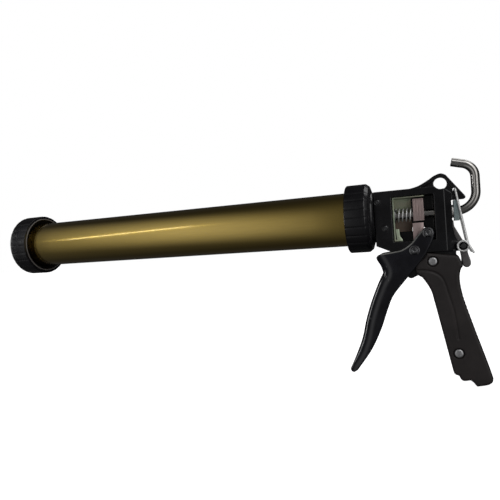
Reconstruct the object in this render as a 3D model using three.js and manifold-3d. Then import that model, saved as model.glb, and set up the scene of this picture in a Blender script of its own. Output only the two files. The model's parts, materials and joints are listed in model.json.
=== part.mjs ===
// A jerky gun: a hand gun that pushes minced meat out of an aluminium barrel through a strip nozzle.
// Millimetres. The barrel lies along X with its nozzle towards -X, +Z is up and the grip hangs down.
// Points are written [x, z] on the gun's side profile. x = 0 is the rear cap's front edge and z = 0 is
// the barrel's axis. The whole group is then lifted, so that its origin is at its box's bottom centre.
import * as THREE from "three";
import { mergeVertices } from "three/addons/utils/BufferGeometryUtils.js";
import Module from "manifold-3d";

const wasm = await Module();
wasm.setup();

// ---- Driving dimensions ----
const GAP = 0.3; // between pieces that touch
const THROUGH = 20; // past both sides, for holes that go right through
const BARREL_R = 27;
const BARREL_WALL = 1.5;
const BARREL_FRONT = -409;
const BARREL_REAR = 14.5;
const BORE_R = BARREL_R - BARREL_WALL;
const ROUND = 36; // facets round the barrel and everything that runs in it

const CAP_RIBS = 24;
const CAP_RIB_DEPTH = 0.7;
const FRONT_CAP_R = 36.8;
const FRONT_CAP = { front: -417.6, rear: -393.1 };
const REAR_CAP_R = 34.1;

const ROD_R = 4;
const ROD_FRONT = -411;
const PISTON_R = 25.1;

const CHEEK_Y = 12; // half width of the cast frame
const CHEEK_T = 3.5;
const POCKET_Y = CHEEK_Y - CHEEK_T;
const CORE_Y = 8; // half width of the casting inside the grip shells
const TANG_Y = 3;
const EAR_Y = 4;
const EAR_RIM_Y = 5.5;
const HANG_HOLE = { x: 87.9, z: 27.2, r: 6 };
const TOP_Z = 24.3;
const TOWER_FRONT = 81;
const TOWER_REAR = 96.3;

const PIVOT = { x: 61.5, z: -34.4, r: 3 };
const DRIVE = { x: 74.3, z: -18.8, r: 3 };
const DRIVE_SWEEP = THREE.MathUtils.degToRad(32);
const LEVER_INNER_Y = 12.4;
const LEVER_OUTER_Y = 15.4;

const NECK_SCREWS = [
  { x: 30, z: 14.3 },
  { x: 36, z: -11.5 },
];
const NECK_SCREW = { shank: 1.6, head: 2.2, recess: 2.5, sink: 1.1, tip: 5 };

const RELEASE_PIN = { x: 104, z: -33, r: 2.5 };
const RELEASE_ARM_Y = 7.6;
const SPRING_ANCHOR = { x: 100.2, z: 20.2, hole: 2 };
const LEVER_SLOT_Y = 4; // half width of the room for the release lever
const WIRE_R = 0.95;

const GRIP_Y = 12.1;
const GRIP_SCREWS = [
  { name: "upper", x: 77, z: -45.9 },
  { name: "lower", x: 94.7, z: -132.8 },
];
const GRIP_SCREW = { shank: 2, head: 4, headHeight: 2, recess: 4.6, headSink: 2.2, nutSink: 3.2 };

// ---- Materials ----
const material = (color, roughness, metalness) =>
  new THREE.MeshStandardMaterial({ color, roughness, metalness });
const GOLD = material(0x8a7420, 0.28, 0.85);
const CAP_BLACK = material(0x141416, 0.45, 0);
const CAST_BLACK = material(0x0e0e11, 0.35, 0.1);
const LEVER_BLACK = material(0x101014, 0.2, 0.1);
const GRIP_BLACK = material(0x241f1e, 0.6, 0);
const ROD_STEEL = material(0x9c9a98, 0.25, 1);
const SPRING_STEEL = material(0xc9cac8, 0.22, 1);
const ZINC = material(0x8f9a84, 0.4, 0.9);
const PLATE_STEEL = material(0x84716d, 0.5, 0.8);
const SCREW_STEEL = material(0xa9a9ab, 0.35, 1);
const BLACK_STEEL = material(0x222225, 0.25, 0.8);
const BLUE_ZINC = material(0x7f9394, 0.4, 0.9);
const RUBBER = material(0x1b1b1b, 0.8, 0);
const WHITE_PLASTIC = material(0xe8e6df, 0.45, 0);
const BRONZE = material(0x9b7442, 0.4, 0.9);
const LEVER_GREY = material(0x4a4848, 0.5, 0.4);

// ---- Geometry helpers ----
function toManifold(geometry) {
  const bare = geometry.index ? geometry.toNonIndexed() : geometry.clone();
  bare.deleteAttribute("normal");
  bare.deleteAttribute("uv");
  const merged = mergeVertices(bare, 1e-4);
  const mesh = new wasm.Mesh({
    numProp: 3,
    vertProperties: new Float32Array(merged.attributes.position.array),
    triVerts: new Uint32Array(merged.index.array),
  });
  const made = new wasm.Manifold(mesh);
  if (made.volume() > 0) {
    return made;
  }
  const turned = mesh.triVerts.slice();
  for (let i = 0; i < turned.length; i += 3) {
    [turned[i + 1], turned[i + 2]] = [turned[i + 2], turned[i + 1]];
  }
  return new wasm.Manifold(
    new wasm.Mesh({ numProp: 3, vertProperties: mesh.vertProperties, triVerts: turned }),
  );
}

function toGeometry(manifold) {
  const mesh = manifold.getMesh();
  const count = mesh.vertProperties.length / mesh.numProp;
  const positions = new Float32Array(count * 3);
  for (let i = 0; i < count; i++) {
    positions.set(mesh.vertProperties.subarray(i * mesh.numProp, i * mesh.numProp + 3), i * 3);
  }
  const geometry = new THREE.BufferGeometry();
  geometry.setAttribute("position", new THREE.BufferAttribute(positions, 3));
  geometry.setIndex(new THREE.BufferAttribute(new Uint32Array(mesh.triVerts), 1));
  geometry.computeVertexNormals();
  return geometry;
}

const join = (first, ...others) => others.reduce((sum, next) => sum.add(next), first);
const cut = (first, ...others) => others.reduce((rest, next) => rest.subtract(next), first);

// A solid of revolution about X from a closed profile of [radius, x] points.
function turned(profile, segments = ROUND) {
  const points = [...profile, profile[0]].map(([r, x]) => new THREE.Vector2(r, x));
  const geometry = new THREE.LatheGeometry(points, segments);
  geometry.rotateZ(-Math.PI / 2);
  return geometry;
}

const ringProfile = (inner, outer, x0, x1) => [
  [inner, x0],
  [outer, x0],
  [outer, x1],
  [inner, x1],
];
const tubeX = (inner, outer, x0, x1, segments = ROUND) =>
  toManifold(turned(ringProfile(inner, outer, x0, x1), segments));

// A cone frustum along X: radius r0 at x0 and r1 at x1.
function coneX(r0, r1, x0, x1, segments = ROUND) {
  const geometry = new THREE.CylinderGeometry(r0, r1, x1 - x0, segments);
  geometry.rotateZ(Math.PI / 2);
  geometry.translate((x0 + x1) / 2, 0, 0);
  return toManifold(geometry);
}
const barX = (radius, x0, x1, segments = 16) => coneX(radius, radius, x0, x1, segments);

// A round bar across the gun, along Y.
function barY({ x, z }, radius, y0, y1, segments = 16) {
  const geometry = new THREE.CylinderGeometry(radius, radius, y1 - y0, segments);
  geometry.translate(x, (y0 + y1) / 2, z);
  return toManifold(geometry);
}

function box(x0, x1, y0, y1, z0, z1) {
  const geometry = new THREE.BoxGeometry(x1 - x0, y1 - y0, z1 - z0);
  geometry.translate((x0 + x1) / 2, (y0 + y1) / 2, (z0 + z1) / 2);
  return toManifold(geometry);
}

// A side profile drawn in [x, z], made solid from y0 to y1.
function slab(shape, y0, y1, { bevel = 0, curveSegments = 6 } = {}) {
  const geometry = new THREE.ExtrudeGeometry(shape, {
    depth: y1 - y0 - 2 * bevel,
    bevelEnabled: bevel > 0,
    bevelThickness: bevel,
    bevelSize: bevel,
    bevelOffset: -bevel,
    bevelSegments: 2,
    curveSegments,
  });
  geometry.rotateX(Math.PI / 2);
  geometry.translate(0, y1 - bevel, 0);
  return toManifold(geometry);
}

const vectors = (points) => points.map(([x, z]) => new THREE.Vector2(x, z));
const polygon = (points) => new THREE.Shape(vectors(points));

// A wire or bar that follows a curve.
function swept(curve, radius, steps, sides = 8) {
  const section = new THREE.Shape();
  for (let i = 0; i < sides; i++) {
    const angle = (2 * Math.PI * i) / sides;
    const at = [radius * Math.cos(angle), radius * Math.sin(angle)];
    if (i === 0) {
      section.moveTo(...at);
    } else {
      section.lineTo(...at);
    }
  }
  const geometry = new THREE.ExtrudeGeometry(section, { steps, extrudePath: curve });
  return toManifold(geometry);
}

// A regular six-sided nut along X or Y, with its bore.
function hexNut(acrossFlats, thickness, boreRadius, along) {
  const outer = acrossFlats / Math.sqrt(3);
  const body = toManifold(new THREE.CylinderGeometry(outer, outer, thickness, 6));
  const hole = toManifold(new THREE.CylinderGeometry(boreRadius, boreRadius, thickness + 2, 16));
  const geometry = toGeometry(cut(body, hole));
  if (along === "x") {
    geometry.rotateZ(Math.PI / 2);
  }
  return geometry;
}

const gun = new THREE.Group();
gun.name = "jerky_gun";

function add(name, shape, finish, parent = gun) {
  const geometry = shape instanceof THREE.BufferGeometry ? shape : toGeometry(shape);
  const mesh = new THREE.Mesh(geometry, finish);
  mesh.name = name;
  parent.add(mesh);
  return mesh;
}

// ---- Barrel, caps and nozzle ----
// Rings of V grooves stand for the rolled thread at each end.
function threadRings(start, direction, count, pitch = 3.2, depth = 0.6) {
  const points = [];
  for (let i = 0; i < count; i++) {
    const x = start + direction * (i * pitch + pitch / 2);
    points.push([BARREL_R, x - (direction * pitch) / 3]);
    points.push([BARREL_R - depth, x]);
    points.push([BARREL_R, x + (direction * pitch) / 3]);
  }
  return points;
}

function makeBarrel() {
  const rings = 3;
  return turned([
    [BORE_R, BARREL_FRONT],
    [BARREL_R - 0.5, BARREL_FRONT],
    ...threadRings(BARREL_FRONT + 0.6, 1, rings),
    ...threadRings(BARREL_REAR - 0.6, -1, rings).reverse(),
    [BARREL_R - 0.5, BARREL_REAR],
    [BORE_R, BARREL_REAR],
  ]);
}

// Broad lengthwise ribs: the corners of the outer wall sink by turns.
function ribbed(geometry, outerRadius) {
  const position = geometry.attributes.position;
  for (let i = 0; i < position.count; i++) {
    const y = position.getY(i);
    const z = position.getZ(i);
    const r = Math.hypot(y, z);
    if (r < outerRadius - 0.05) {
      continue;
    }
    const step = Math.round((Math.atan2(z, y) / (2 * Math.PI)) * 2 * CAP_RIBS);
    if (step % 2 === 0) {
      const scale = (outerRadius - CAP_RIB_DEPTH) / r;
      position.setY(i, y * scale);
      position.setZ(i, z * scale);
    }
  }
  return geometry;
}

function makeFrontCap() {
  const { front, rear } = FRONT_CAP;
  const profile = [
    [21, front],
    [FRONT_CAP_R - 2.4, front],
    [FRONT_CAP_R, front + 2.2],
    [FRONT_CAP_R, rear - 0.8],
    [FRONT_CAP_R - 0.8, rear],
    [32.8, rear],
    [32.1, rear - 0.6],
    [27.6, rear - 4.4],
    [27.6, front + 3],
    [21, front + 3],
  ];
  return ribbed(turned(profile, 2 * CAP_RIBS), FRONT_CAP_R);
}

function makeRearCap() {
  const profile = [
    [30.2, 0],
    [REAR_CAP_R - 1.6, 0],
    [REAR_CAP_R, 1.6],
    [REAR_CAP_R, 18],
    [33.2, 20.3],
    [31.5, 22.1],
    [28.8, 23.6],
    [26.4, 24.2],
    [26, 23.8],
    [26, 19.8],
    [27.6, 19.8],
    [27.6, 3],
  ];
  return ribbed(turned(profile, 2 * CAP_RIBS), REAR_CAP_R);
}

// A round base that flattens to a slot for strips of meat.
function makeNozzle() {
  const flange = { x0: -414.3, x1: -411.3, r: 25 };
  const tip = -431;
  const wall = 2.2;
  const funnel = (front, rear, grow) => {
    const cone = coneX(16 + grow, 20.6 + grow, front, rear);
    const wedge = polygon([
      [rear, -20.6 - grow],
      [rear, 20.6 + grow],
      [front, 5.2 + grow],
      [front, -5.2 - grow],
    ]);
    return slab(wedge, -30, 30).intersect(cone);
  };
  const outside = funnel(tip, flange.x1 - 0.5, 0);
  const hollow = funnel(tip - 1, flange.x1 + 1, -wall);
  return cut(join(tubeX(14, flange.r, flange.x0, flange.x1), outside), hollow);
}

add("barrel", makeBarrel(), GOLD);
add("front_cap", makeFrontCap(), CAP_BLACK);
add("strip_nozzle", makeNozzle(), WHITE_PLASTIC);
add("front_gasket", turned(ringProfile(23.5, 27.2, -411, BARREL_FRONT - GAP)), RUBBER);
add("rear_cap", makeRearCap(), CAP_BLACK);
add("rear_gasket", turned(ringProfile(25.3, 27.2, BARREL_REAR + GAP, 16)), RUBBER);

// ---- Barrel seat: the flange that the rear cap pulls against the barrel ----
const SEAT = { spigot: 8, flange: 16.3, hub: 19.5, chamfer: 24.4, back: 26.3, tongue: 40 };
const SEAT_R = { spigot: 25, flange: 27.2, hub: 25.6, back: 24.4 };
const BUSH_BORE_R = 7.05;
function makeSeat() {
  const disc = toManifold(
    turned([
      [BUSH_BORE_R, SEAT.spigot],
      [SEAT_R.spigot, SEAT.spigot],
      [SEAT_R.spigot, SEAT.flange],
      [SEAT_R.flange, SEAT.flange],
      [SEAT_R.flange, SEAT.hub],
      [SEAT_R.hub, SEAT.hub],
      [SEAT_R.hub, SEAT.chamfer],
      [SEAT_R.back, SEAT.back],
      [BUSH_BORE_R, SEAT.back],
    ]),
  );
  const half = POCKET_Y - GAP;
  const tongue = box(SEAT.back - 1, SEAT.tongue, -half, half, -15, 17.5);
  const holeR = NECK_SCREW.shank + 0.1;
  const screwHoles = NECK_SCREWS.map((screw) => barY(screw, holeR, -THROUGH, THROUGH, 12));
  return cut(join(disc, tongue), barX(BUSH_BORE_R, 0, SEAT.tongue + 10, ROUND), ...screwHoles);
}
add("barrel_seat", makeSeat(), CAST_BLACK);
add("front_rod_bush", tubeX(ROD_R + 0.2, BUSH_BORE_R - 0.1, SEAT.spigot, SEAT.tongue), BRONZE);

// The heads lie just below the cheeks' flat sides.
function makeNeckScrew(screw, side) {
  const { shank, head, sink, tip } = NECK_SCREW;
  const crown = CHEEK_Y - 0.2;
  const barFrom = (radius, from) => {
    const [y0, y1] = side < 0 ? [-crown, -from] : [from, crown];
    return barY(screw, radius, y0, y1, 12);
  };
  return join(barFrom(shank, tip), barFrom(head, CHEEK_Y - sink + 0.1));
}
for (const [index, side] of [-1, 1].entries()) {
  for (const [row, screw] of NECK_SCREWS.entries()) {
    add(`neck_screw_${2 * index + row + 1}`, makeNeckScrew(screw, side), BLACK_STEEL);
  }
}

// ---- Cast frame ----
function topLine(shape) {
  shape.lineTo(57, TOP_Z);
  shape.splineThru(
    vectors([
      [67.6, 26.5],
      [77.2, 31.3],
      [82.5, 34.6],
      [88.5, 36.4],
      [93, 34.6],
    ]),
  );
}

function bodyShape() {
  const shape = new THREE.Shape();
  shape.moveTo(SEAT.back + GAP, -28.5);
  shape.lineTo(SEAT.back + GAP, TOP_Z);
  shape.lineTo(TOWER_FRONT + 6, TOP_Z);
  shape.lineTo(TOWER_REAR, 17);
  shape.lineTo(TOWER_REAR, -14.6);
  shape.splineThru(
    vectors([
      [97.6, -21.7],
      [99.4, -29.4],
      [100.6, -36.9],
    ]),
  );
  shape.lineTo(71, -36.9);
  shape.absarc(PIVOT.x, PIVOT.z, 8.8, -0.3, -2.35, true);
  shape.lineTo(42.5, -35.8);
  shape.closePath();
  return shape;
}

function earShape() {
  const shape = new THREE.Shape();
  shape.moveTo(52, 14);
  shape.lineTo(52, TOP_Z);
  topLine(shape);
  shape.lineTo(108.4, 13.8);
  shape.splineThru(
    vectors([
      [109, 12.2],
      [108, 10.8],
    ]),
  );
  shape.lineTo(94, 10.8);
  shape.closePath();
  return shape;
}

// The ear's flat web inside its raised rim.
function earPanelShape() {
  return polygon([
    [70, 24.6],
    [79, 28.6],
    [84, 32],
    [88.2, 33.2],
    [91.6, 31.4],
    [103, 13.9],
    [70, 13.9],
  ]);
}

function coreShape() {
  const shape = new THREE.Shape();
  shape.moveTo(49, -36);
  shape.lineTo(50.5, -52);
  shape.lineTo(53, -58);
  shape.absarc(57, -57.2, 4.2, Math.PI + 0.3, 2 * Math.PI - 0.9, false);
  shape.lineTo(66, -57.5);
  shape.lineTo(98, -57.5);
  shape.lineTo(98, -36);
  shape.closePath();
  return shape;
}

function tangShape(grow = 0) {
  return polygon([
    [73 - grow, -56],
    [96 + grow, -56],
    [97 + grow, -80],
    [113 + grow, -146 - grow],
    [96 - grow, -146 - grow],
    [82 - grow, -90],
  ]);
}

// The slot in the far cheek that the drive pin sweeps through.
function driveSlot(y0, y1) {
  const radius = Math.hypot(DRIVE.x - PIVOT.x, DRIVE.z - PIVOT.z);
  const start = Math.atan2(DRIVE.z - PIVOT.z, DRIVE.x - PIVOT.x) - 0.04;
  const end = start + DRIVE_SWEEP + 0.08;
  const half = DRIVE.r + 0.5;
  const shape = new THREE.Shape();
  shape.absarc(PIVOT.x, PIVOT.z, radius + half, start, end, false);
  shape.absarc(PIVOT.x, PIVOT.z, radius - half, end, start, true);
  shape.closePath();
  const ends = [start, end].map((angle) =>
    barY(
      { x: PIVOT.x + radius * Math.cos(angle), z: PIVOT.z + radius * Math.sin(angle) },
      half,
      y0,
      y1,
    ),
  );
  return join(slab(shape, y0, y1), ...ends);
}

// The rear corners of the tower slope away from its flat sides.
function towerCorner(side) {
  const plan = polygon([
    [90.3, side * (CHEEK_Y + 1)],
    [90.3, side * CHEEK_Y],
    [TOWER_REAR + 2, side * 6.5],
    [TOWER_REAR + 9, side * 6.5],
    [TOWER_REAR + 9, side * (CHEEK_Y + 1)],
  ]);
  const geometry = new THREE.ExtrudeGeometry(plan, { depth: 62, bevelEnabled: false });
  geometry.translate(0, 0, -38);
  return toManifold(geometry);
}

const WINDOW = { x0: 43, x1: TOWER_FRONT, z0: -25.5, z1: 17.8 };
const LUG_Y = 6.3;
function makeFrame() {
  const body = cut(slab(bodyShape(), -CHEEK_Y, CHEEK_Y), towerCorner(-1), towerCorner(1));
  const rim = slab(earShape(), -EAR_RIM_Y, EAR_RIM_Y);
  const panels = [-1, 1].map((side) => {
    const inner = side * EAR_Y;
    const outer = side * (EAR_RIM_Y + 1);
    return slab(earPanelShape(), Math.min(inner, outer), Math.max(inner, outer));
  });
  const ear = cut(rim, ...panels);
  const core = slab(coreShape(), -CORE_Y, CORE_Y);
  const tang = slab(tangShape(), -TANG_Y, TANG_Y);
  const lug = join(
    barY(RELEASE_PIN, 4.4, -LUG_Y, LUG_Y),
    slab(
      polygon([
        [98, -28.6],
        [RELEASE_PIN.x, -28.6],
        [RELEASE_PIN.x, -37.4],
        [98, -37.4],
      ]),
      -LUG_Y,
      LUG_Y,
    ),
  );
  const { x0, x1, z0, z1 } = WINDOW;
  return cut(
    join(body, ear, core, tang, lug),
    box(x0, x1, -CHEEK_Y - 1, POCKET_Y, z0, z1),
    box(SEAT.back - 1, x0 + 1, -POCKET_Y, POCKET_Y, -15.4, z1),
    driveSlot(POCKET_Y - 1, CHEEK_Y + 1),
    barX(6.5, TOWER_FRONT - 1, 120, ROUND),
    barY(PIVOT, PIVOT.r + 0.1, -THROUGH, THROUGH),
    barY(RELEASE_PIN, RELEASE_PIN.r + 0.1, -THROUGH, THROUGH),
    box(91.5, 112, -LEVER_SLOT_Y, LEVER_SLOT_Y, -60, -7.1),
    barY(HANG_HOLE, HANG_HOLE.r, -THROUGH, THROUGH),
    barY(SPRING_ANCHOR, SPRING_ANCHOR.hole, -THROUGH, THROUGH, 12),
    ...NECK_SCREWS.flatMap((screw) => [
      barY(screw, NECK_SCREW.shank + 0.2, -THROUGH, THROUGH, 12),
      barY(screw, NECK_SCREW.recess, -THROUGH, -CHEEK_Y + NECK_SCREW.sink, 12),
      barY(screw, NECK_SCREW.recess, CHEEK_Y - NECK_SCREW.sink, THROUGH, 12),
    ]),
    ...GRIP_SCREWS.map((screw) => barY(screw, GRIP_SCREW.shank + 0.4, -THROUGH, THROUGH, 12)),
  );
}
add("frame", makeFrame(), CAST_BLACK);
add("rear_rod_bush", tubeX(ROD_R + 0.2, 6.4, TOWER_FRONT, TOWER_REAR), BRONZE);

// ---- Push rod with its hook, and the piston ----
function rodCurve() {
  const path = new THREE.CurvePath();
  const bend = { x: 100.8, r: 17.5 };
  const upright = bend.x + bend.r;
  const top = { z: 31, r: 13, turn: THREE.MathUtils.degToRad(75) };
  const point = (x, z) => new THREE.Vector3(x, 0, z);
  const lastBend = point(
    upright - top.r + top.r * Math.cos(top.turn),
    top.z + top.r * Math.sin(top.turn),
  );
  const handle = (from, to) => (4 / 3) * Math.tan((to - from) / 4);
  const arc = (cx, cz, r, from, to) => {
    const k = handle(from, to) * r;
    const [c0, s0, c1, s1] = [Math.cos(from), Math.sin(from), Math.cos(to), Math.sin(to)];
    return new THREE.CubicBezierCurve3(
      point(cx + r * c0, cz + r * s0),
      point(cx + r * c0 - k * s0, cz + r * s0 + k * c0),
      point(cx + r * c1 + k * s1, cz + r * s1 - k * c1),
      point(cx + r * c1, cz + r * s1),
    );
  };
  const tail = 10.5;
  path.add(new THREE.LineCurve3(point(90, 0), point(bend.x, 0)));
  path.add(arc(bend.x, bend.r, bend.r, -Math.PI / 2, 0));
  path.add(new THREE.LineCurve3(point(upright, bend.r), point(upright, top.z)));
  path.add(arc(upright - top.r, top.z, top.r, 0, top.turn));
  path.add(
    new THREE.LineCurve3(
      lastBend,
      point(lastBend.x - tail * Math.sin(top.turn), lastBend.z + tail * Math.cos(top.turn)),
    ),
  );
  return path;
}
const STUD_R = 2.9;
const SHOULDER = -402.7;
const pushRod = join(
  swept(rodCurve(), ROD_R, 30, 12),
  barX(ROD_R, SHOULDER, 91, 12),
  barX(STUD_R, ROD_FRONT, SHOULDER + 1, 12),
);
add("push_rod", pushRod, ROD_STEEL);

// From the muzzle back: nut, front disc, rubber cup, rear disc and collar.
add("piston_front_disc", turned(ringProfile(STUD_R + 0.2, 24.6, -406, -403)), ROD_STEEL);
const cup = turned([
  [ROD_R + 0.2, -402.7],
  [22.5, -402.7],
  [PISTON_R, -400.5],
  [PISTON_R, -391],
  [23.4, -391],
  [22.4, -398],
  [ROD_R + 0.2, -398],
]);
add("piston_cup", cup, RUBBER);
add("piston_rear_disc", turned(ringProfile(ROD_R + 0.2, 21.6, -397.7, -395)), ROD_STEEL);
const pistonNut = add("piston_nut", hexNut(10, 4, STUD_R + 0.1, "x"), SCREW_STEEL);
pistonNut.position.x = -408.4;
const collar = cut(barX(7, -394.7, -388.7), barX(ROD_R + 0.1, -396, -387));
add("piston_collar", collar, SCREW_STEEL);

// ---- Drive: return spring, gripping plates and thrust block in the frame's pocket ----
const BRACKET = { x0: 43.6, x1: 60.4, rear: 72.9, z0: -25.2, z1: 17.5, t: 1.2 };
function makeBracket() {
  const { x0, x1, rear, z0, z1, t } = BRACKET;
  const y1 = POCKET_Y - GAP;
  const y0 = -y1;
  const back = box(x0, x1, y1 - t, y1, z0 + 9, z1);
  const front = box(x0, x0 + t, y0, y1, z0, z1);
  const top = box(x0, rear, y0, y1, z1 - t, z1);
  const foot = box(x0, x0 + 7, y0, y0 + 4, z0, z0 + t + 0.5);
  const leg = polygon([
    [x0 + 1.7, z0 + 12],
    [x0 + 4.9, z0 + 12],
    [x0 + 5.4, z0 + 5],
    [x0 + 7.8, z0 + 1.8],
    [x0 + 7.8, z0],
    [x0 + 2.8, z0],
  ]);
  return cut(join(back, front, top, foot, slab(leg, y0, y0 + t)), barX(5, x0 - 2, x0 + 4));
}
add("spring_bracket", makeBracket(), ZINC);

const SPRING = { x0: 46.4, x1: 61.4, r: 6.2, wire: 0.55, turns: 4.25 };
class Helix extends THREE.Curve {
  getPoint(t) {
    const angle = 2 * Math.PI * SPRING.turns * t;
    return new THREE.Vector3(
      SPRING.x0 + (SPRING.x1 - SPRING.x0) * t,
      SPRING.r * Math.sin(angle),
      SPRING.r * Math.cos(angle),
    );
  }
}
add("return_spring", swept(new Helix(), SPRING.wire, 46, 6), SPRING_STEEL);
add("spring_washer", tubeX(ROD_R + 0.2, 6.9, 44.9, 45.7, 24), SCREW_STEEL);

const PLATES = { first: 62.3, pitch: 2.45, t: 2.15, y: 6.6, z0: -6.6, z1: 14.8 };
for (let i = 0; i < 4; i++) {
  const x = PLATES.first + i * PLATES.pitch;
  const plate = box(x, x + PLATES.t, -PLATES.y, PLATES.y, PLATES.z0, PLATES.z1);
  const hole = barX(ROD_R + 0.2, x - 1, x + PLATES.t + 1);
  add(`grip_plate_${i + 1}`, cut(plate, hole), PLATE_STEEL);
}
const thrustBlock = join(
  box(62.3, DRIVE.x - DRIVE.r - GAP, -PLATES.y, PLATES.y, -24, -8.4),
  box(61, 63, -PLATES.y, -PLATES.y + 3, -24.4, -8.4),
);
add("thrust_block", thrustBlock, PLATE_STEEL);

// ---- Trigger: a clevis over the frame with a finger lever below ----
const LEVER_TIP = { x: -4.2, z: -151.4, r: 3.1 };
function leverShape() {
  const shape = new THREE.Shape();
  const boss = 5.9;
  shape.absarc(DRIVE.x, DRIVE.z, boss, 2.6, -0.4, true);
  shape.splineThru(
    vectors([
      [77, -28.5],
      [69.3, -41.5],
      [53.5, -60.2],
      [39.2, -77.6],
      [31.2, -95.4],
      [24.4, -113.5],
      [14.9, -131.8],
      [0, -152.3],
    ]),
  );
  shape.absarc(LEVER_TIP.x, LEVER_TIP.z, LEVER_TIP.r, -0.9, -3.3, true);
  shape.splineThru(
    vectors([
      [-1.1, -138.2],
      [6.6, -119.6],
      [11.5, -101.2],
      [17.8, -83.1],
      [25.7, -65.1],
      [31.2, -54.6],
    ]),
  );
  shape.splineThru(
    vectors([
      [29.4, -48],
      [25.7, -41],
      [27, -37.7],
      [31, -35.9],
    ]),
  );
  shape.splineThru(
    vectors([
      [41.5, -34.6],
      [50, -33],
      [58, -28],
      [65.2, -19.9],
      [DRIVE.x + boss * Math.cos(2.6), DRIVE.z + boss * Math.sin(2.6)],
    ]),
  );
  return shape;
}

// The lever seen from the front: full width at the clevis and slimmer down the finger lever.
function leverWidth() {
  const half = [
    [LEVER_OUTER_Y, 0],
    [LEVER_OUTER_Y, -60],
    [13.6, -72],
    [11.4, -90],
    [10.2, -120],
    [8.6, -148],
    [7.2, -160],
  ];
  const plan = polygon([...half.map(([y, z]) => [y, z]), ...half.map(([y, z]) => [-y, z]).reverse()]);
  const geometry = new THREE.ExtrudeGeometry(plan, { depth: 120, bevelEnabled: false });
  geometry.rotateX(Math.PI / 2);
  geometry.rotateZ(Math.PI / 2);
  geometry.translate(-20, 0, 0);
  return toManifold(geometry);
}

// The space between the clevis cheeks, open to the rear, behind the lever's front wall.
function clevisSpace() {
  const shape = new THREE.Shape();
  shape.moveTo(90, 0);
  shape.lineTo(20, 0);
  shape.lineTo(20, -31);
  shape.lineTo(31.5, -41);
  shape.lineTo(36.5, -54);
  shape.absarc(PIVOT.x, PIVOT.z, 32.5, -2.48, -1.0, false);
  shape.lineTo(90, -60);
  shape.closePath();
  return shape;
}

const trigger = new THREE.Group();
gun.add(trigger);
const clevis = slab(clevisSpace(), -LEVER_INNER_Y, LEVER_INNER_Y);
const leverSolid = slab(leverShape(), -LEVER_OUTER_Y, LEVER_OUTER_Y, { bevel: 1.4, curveSegments: 3 });
add(
  "trigger",
  cut(
    leverSolid.intersect(leverWidth()),
    clevis,
    barY(PIVOT, PIVOT.r + 0.1, -THROUGH, THROUGH),
    barY(DRIVE, DRIVE.r + 0.1, -THROUGH, THROUGH),
  ),
  LEVER_BLACK,
  trigger,
);

// A headed pin across the gun, with an E-clip in its groove on the near side.
const PIN_GROOVE = LEVER_OUTER_Y + GAP;
function makePin({ x, z, r }) {
  const shank = barY({ x, z }, r, -PIN_GROOVE - 1.9, PIN_GROOVE);
  const head = barY({ x, z }, r + 2, PIN_GROOVE, PIN_GROOVE + 1.6);
  const groove = cut(
    barY({ x, z }, r + 1, -PIN_GROOVE - 0.9, -PIN_GROOVE + 0.1),
    barY({ x, z }, r - 0.8, -PIN_GROOVE - 2, -PIN_GROOVE + 1),
  );
  return cut(join(shank, head), groove);
}

function makeClip({ x, z, r }) {
  const y0 = -PIN_GROOVE - 0.8;
  const y1 = -PIN_GROOVE;
  const lobes = [0.5, 2.6, 4.7].map((angle) =>
    barY({ x: x + 3.1 * Math.cos(angle), z: z + 3.1 * Math.sin(angle) }, 1.9, y0, y1, 12),
  );
  const ring = barY({ x, z }, r + 0.8, y0, y1);
  const mouth = box(x - 1.5, x + 1.5, y0 - 1, y1 + 1, z - 9, z);
  return cut(join(ring, ...lobes), barY({ x, z }, r - 0.7, y0 - 1, y1 + 1), mouth);
}
add("pivot_pin", makePin(PIVOT), BLACK_STEEL);
add("pivot_clip", makeClip(PIVOT), BLACK_STEEL);
add("drive_pin", makePin(DRIVE), BLACK_STEEL, trigger);
add("drive_clip", makeClip(DRIVE), BLACK_STEEL, trigger);

// ---- Grip: two plastic shells over the frame's core and tang ----
function gripShape() {
  const shape = new THREE.Shape();
  shape.moveTo(97.2, -37.2);
  shape.absarc(PIVOT.x, PIVOT.z, 10.4, -0.27, -1.5, true);
  shape.splineThru(
    vectors([
      [60.6, -50.5],
      [62.4, -57.6],
      [66.8, -60.7],
    ]),
  );
  shape.splineThru(
    vectors([
      [73.4, -72.2],
      [76.4, -85],
      [81.9, -113.5],
      [88.6, -148.6],
    ]),
  );
  shape.splineThru(
    vectors([
      [90, -152.6],
      [93.8, -154.2],
    ]),
  );
  shape.splineThru(
    vectors([
      [94.8, -156.9],
      [97.4, -158.9],
      [103.2, -158.1],
    ]),
  );
  shape.lineTo(105.8, -160.2);
  shape.lineTo(108.3, -163.8);
  shape.splineThru(
    vectors([
      [117.4, -162],
      [121.4, -159.4],
      [122.4, -155.4],
    ]),
  );
  shape.splineThru(
    vectors([
      [118.8, -141.7],
      [109, -107.8],
      [101.4, -79.4],
      [99.4, -64],
      [100.6, -55],
      [102.8, -51.6],
    ]),
  );
  shape.splineThru(
    vectors([
      [101.6, -47],
      [99.4, -41.5],
    ]),
  );
  shape.closePath();
  return shape;
}

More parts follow.
